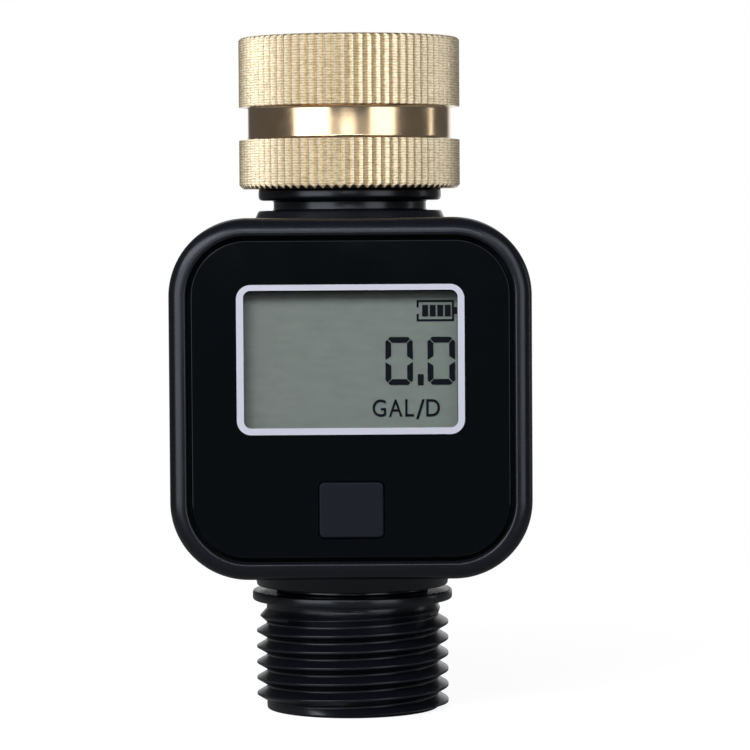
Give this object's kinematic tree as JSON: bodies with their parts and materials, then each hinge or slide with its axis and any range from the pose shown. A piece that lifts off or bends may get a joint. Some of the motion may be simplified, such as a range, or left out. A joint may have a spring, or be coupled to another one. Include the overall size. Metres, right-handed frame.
{
  "type": "water meter",
  "caption": "Square digital water meter for a garden hose, with a display and a key on the front, a knurled swivel nut at the inlet and a male thread at the outlet.",
  "frame": {"origin": "on the flow axis at the outlet's end face, which is also the middle of the base", "axes": "+Z along the flow axis from outlet to inlet, -Y out of the display, +X to the right of someone reading it"},
  "size_m": [0.049, 0.0396, 0.0937],
  "materials": {
    "housing_plastic": "satin",
    "brass": "satin",
    "panel_gloss": "gloss",
    "frame_white": "matte",
    "window_clear": "gloss",
    "display_grey": "satin",
    "display_mark": "matte",
    "key_plastic": "matte",
    "washer_rubber": "matte",
    "steel": "satin",
    "turbine_plastic": "satin",
    "magnet": "matte",
    "bearing_bronze": "satin",
    "glue_film": "matte",
    "connector_rubber": "matte",
    "board_green": "satin",
    "component_black": "matte",
    "contact_metal": "satin"
  },
  "bodies": {
    "housing": {"meter_body": "housing_plastic", "nut_retaining_ring": "steel", "hose_washer": "washer_rubber", "flow_straightener": "turbine_plastic", "inlet_bearing": "bearing_bronze", "outlet_bearing": "bearing_bronze", "rotor_support": "turbine_plastic", "support_clip": "steel", "front_panel": "panel_gloss", "panel_adhesive": "glue_film", "window_frame": "frame_white", "display_window": "window_clear", "lcd_module": "display_grey", "lcd_marks": "display_mark", "zebra_strips": "connector_rubber", "circuit_board": "board_green", "board_screws": "steel", "controller_chip": "component_black", "hall_sensor": "component_black", "tact_switch": "component_black", "coin_cell": "steel", "negative_contact": "contact_metal", "positive_contact": "contact_metal", "battery_door": "housing_plastic", "door_gasket": "washer_rubber", "door_screws": "steel"},
    "nut": {"swivel_nut": "brass"},
    "rotor": {"turbine_rotor": "turbine_plastic", "rotor_magnet": "magnet", "rotor_axle": "steel"},
    "key": {"mode_button": "key_plastic", "switch_plunger": "contact_metal"}
  },
  "joints": [
    {"name": "nut_swivel", "type": "hinge", "parent": "housing", "child": "nut", "pos_m": [0, 0, 0.083], "axis": [0, 0, 1], "continuous": true},
    {"name": "rotor_spin", "type": "hinge", "parent": "housing", "child": "rotor", "pos_m": [0, 0, 0.0387], "axis": [0, 0, 1], "continuous": true},
    {"name": "key_press", "type": "slide", "parent": "housing", "child": "key", "axis": [0, 1, 0], "range_m": [0, 0.0004], "stiffness_N_per_m": 400}
  ]
}
